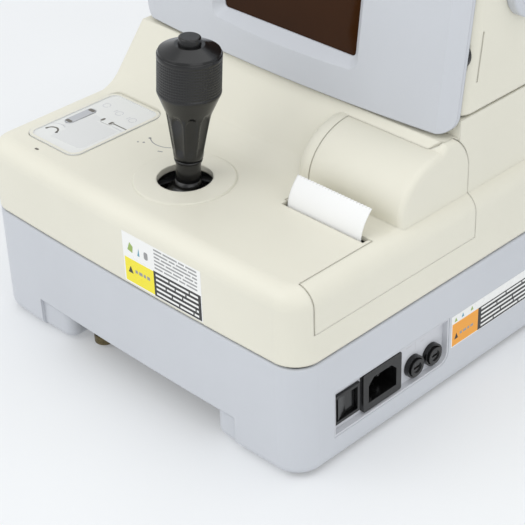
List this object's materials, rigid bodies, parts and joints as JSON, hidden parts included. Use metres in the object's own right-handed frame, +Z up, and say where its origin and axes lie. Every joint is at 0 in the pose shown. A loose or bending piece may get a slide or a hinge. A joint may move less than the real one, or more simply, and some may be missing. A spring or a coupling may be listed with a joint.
{
  "type": "auto refractometer",
  "caption": "Table-top eye-measuring instrument: joystick-driven sliding stage with tilted monitor head, side printer, mains inlet and patient chinrest.",
  "frame": {"origin": "on the table, under the middle of the base", "axes": "+Z up, +Y towards the patient, +X towards the printer and mains inlet side"},
  "size_m": [0.28, 0.48, 0.425],
  "materials": {
    "cream_plastic": "satin, fine moulded grain",
    "blue_grey_plastic": "satin, fine moulded grain",
    "pale_panel": "satin",
    "black_plastic": "satin",
    "rubber": "matt",
    "black_sheet": "matt",
    "steel": "brushed",
    "aluminium": "machined",
    "brass": "tarnished",
    "circuit_board": "gloss",
    "screen_glass": "gloss, dark brown tint",
    "lens_glass": "coated",
    "paper": "matt",
    "pad": "soft satin"
  },
  "bodies": {
    "base": {"base_shell": "blue_grey_plastic", "bottom_plate": "black_sheet", "rubber_feet": "rubber", "base_chassis": "steel", "friction_plate": "black_sheet", "racks": "steel", "power_supply": "steel", "power_panel": "pale_panel", "mains_inlet": "black_plastic", "inlet_pins": "steel", "switch_frame": "black_plastic", "fuse_holders": "black_plastic", "chinrest_bracket": "cream_plastic", "chinrest_uprights": "steel", "forehead_frame": "cream_plastic", "forehead_pad": "pad", "chin_column": "cream_plastic"},
    "table_screw": {"fixing_screw": "brass"},
    "rocker": {"switch_rocker": "black_plastic"},
    "fuse_front": {"fuse_cap_front": "black_plastic"},
    "fuse_rear": {"fuse_cap_rear": "black_plastic"},
    "carriage": {"carriage_ends": "aluminium", "cross_rods": "steel"},
    "axle": {"roller_axle": "steel"},
    "stage": {"stage_cover": "cream_plastic", "stage_frame": "aluminium", "lift_motor": "aluminium", "guide_columns": "steel", "main_board": "circuit_board", "joystick_housing": "black_plastic", "control_panel": "pale_panel", "printer_frame": "black_plastic", "print_head": "aluminium", "paper_strip": "paper"},
    "print_button": {"print_key": "pale_panel"},
    "menu_button": {"menu_key": "pale_panel"},
    "gimbal": {"gimbal_ring": "steel"},
    "stick": {"joystick_stem": "black_plastic", "joystick_boot": "rubber"},
    "grip": {"joystick_grip": "black_plastic", "grip_cap": "black_plastic"},
    "trigger": {"measure_button": "black_plastic"},
    "cover": {"printer_cover": "cream_plastic"},
    "roll": {"paper_roll": "paper", "roll_spindle": "steel"},
    "platen": {"platen_roller": "rubber"},
    "screw": {"lead_screw": "steel"},
    "head": {"head_shell": "cream_plastic", "head_chassis": "aluminium", "head_skirt": "black_plastic", "monitor_bezel": "blue_grey_plastic", "screen_glass": "screen_glass", "optics_barrel": "black_plastic", "objective_lens": "lens_glass", "window_ring": "black_plastic"},
    "dimmer": {"dimmer_wheel": "black_plastic"},
    "lock_knob": {"side_knob": "blue_grey_plastic"},
    "chin_rest": {"chin_post": "steel", "chin_cup": "pad"},
    "chin_ring": {"chin_lift_ring": "black_plastic"}
  },
  "joints": [
    {"name": "carriage_slide", "type": "slide", "parent": "base", "child": "carriage", "axis": [0, 1, 0], "range_m": [-0.02, 0.02]},
    {"name": "axle_spin", "type": "hinge", "parent": "carriage", "child": "axle", "pos_m": [0, 0.045, 0.094], "axis": [1, 0, 0], "range_deg": [-145, 145]},
    {"name": "stage_slide", "type": "slide", "parent": "carriage", "child": "stage", "axis": [1, 0, 0], "range_m": [-0.043, 0.043]},
    {"name": "joystick_fore_aft", "type": "hinge", "parent": "stage", "child": "gimbal", "pos_m": [-0.002, -0.1875, 0.098], "axis": [1, 0, 0], "range_deg": [-7.4, 12.6]},
    {"name": "joystick_sideways", "type": "hinge", "parent": "gimbal", "child": "stick", "pos_m": [-0.002, -0.1875, 0.098], "axis": [0, 0.999, -0.0454], "range_deg": [-12.6, 7.4]},
    {"name": "grip_twist", "type": "hinge", "parent": "stick", "child": "grip", "pos_m": [-0.002, -0.1875, 0.098], "axis": [0.0454, 0.0453, 0.9979], "range_deg": [0, 1080]},
    {"name": "trigger_press", "type": "slide", "parent": "grip", "child": "trigger", "axis": [-0.0454, -0.0453, -0.9979], "range_m": [0, 0.002], "stiffness_N_per_m": 500},
    {"name": "print_key_press", "type": "slide", "parent": "stage", "child": "print_button", "axis": [0, 0, -1], "range_m": [0, 0.0005], "stiffness_N_per_m": 1000},
    {"name": "menu_key_press", "type": "slide", "parent": "stage", "child": "menu_button", "axis": [0, 0, -1], "range_m": [0, 0.0005], "stiffness_N_per_m": 1000},
    {"name": "printer_cover_pull", "type": "slide", "parent": "stage", "child": "cover", "axis": [1, 0, 0], "range_m": [0, 0.08]},
    {"name": "roll_spin", "type": "hinge", "parent": "stage", "child": "roll", "pos_m": [0.094, -0.113, 0.136], "axis": [1, 0, 0], "continuous": true},
    {"name": "platen_spin", "type": "hinge", "parent": "stage", "child": "platen", "pos_m": [0.094, -0.1624, 0.117], "axis": [1, 0, 0], "continuous": true},
    {"name": "head_lift", "type": "slide", "parent": "stage", "child": "head", "axis": [0, 0, 1], "range_m": [0, 0.03]},
    {"name": "screw_spin", "type": "hinge", "parent": "stage", "child": "screw", "pos_m": [0, 0.045, 0.15], "axis": [0, 0, 1], "range_deg": [0, 1080]},
    {"name": "dimmer_turn", "type": "hinge", "parent": "head", "child": "dimmer", "pos_m": [0.1246, -0.088, 0.2158], "axis": [0, 0.99, -0.1409], "range_deg": [-120, 120]},
    {"name": "side_knob_turn", "type": "hinge", "parent": "head", "child": "lock_knob", "pos_m": [0.133, -0.0385, 0.247], "axis": [1, 0, 0], "range_deg": [-90, 90]},
    {"name": "switch_rock", "type": "hinge", "parent": "base", "child": "rocker", "pos_m": [0.1325, -0.19475, 0.03525], "axis": [0, 0, 1], "range_deg": [-16, 0]},
    {"name": "fuse_front_turn", "type": "hinge", "parent": "base", "child": "fuse_front", "pos_m": [0.1355, -0.135, 0.0303], "axis": [1, 0, 0], "range_deg": [0, 90]},
    {"name": "fuse_rear_turn", "type": "hinge", "parent": "base", "child": "fuse_rear", "pos_m": [0.1355, -0.1183, 0.0303], "axis": [1, 0, 0], "range_deg": [0, 90]},
    {"name": "table_screw_turn", "type": "hinge", "parent": "base", "child": "table_screw", "pos_m": [-0.053, -0.221, 0.01], "axis": [0, 0, 1], "range_deg": [-180, 180]},
    {"name": "chin_lift", "type": "slide", "parent": "base", "child": "chin_rest", "axis": [0, 0, 1], "range_m": [0, 0.065]},
    {"name": "chin_ring_turn", "type": "hinge", "parent": "base", "child": "chin_ring", "pos_m": [0, 0.214, 0.176], "axis": [0, 0, 1], "range_deg": [0, 1800]}
  ],
  "couplings": [
    {"joint": "axle_spin", "follows": "carriage_slide", "rad_per_m": -125},
    {"joint": "grip_twist", "follows": "head_lift", "rad_per_m": 628.3},
    {"joint": "screw_spin", "follows": "head_lift", "rad_per_m": 628.3},
    {"joint": "chin_ring_turn", "follows": "chin_lift", "rad_per_m": 483.3}
  ]
}
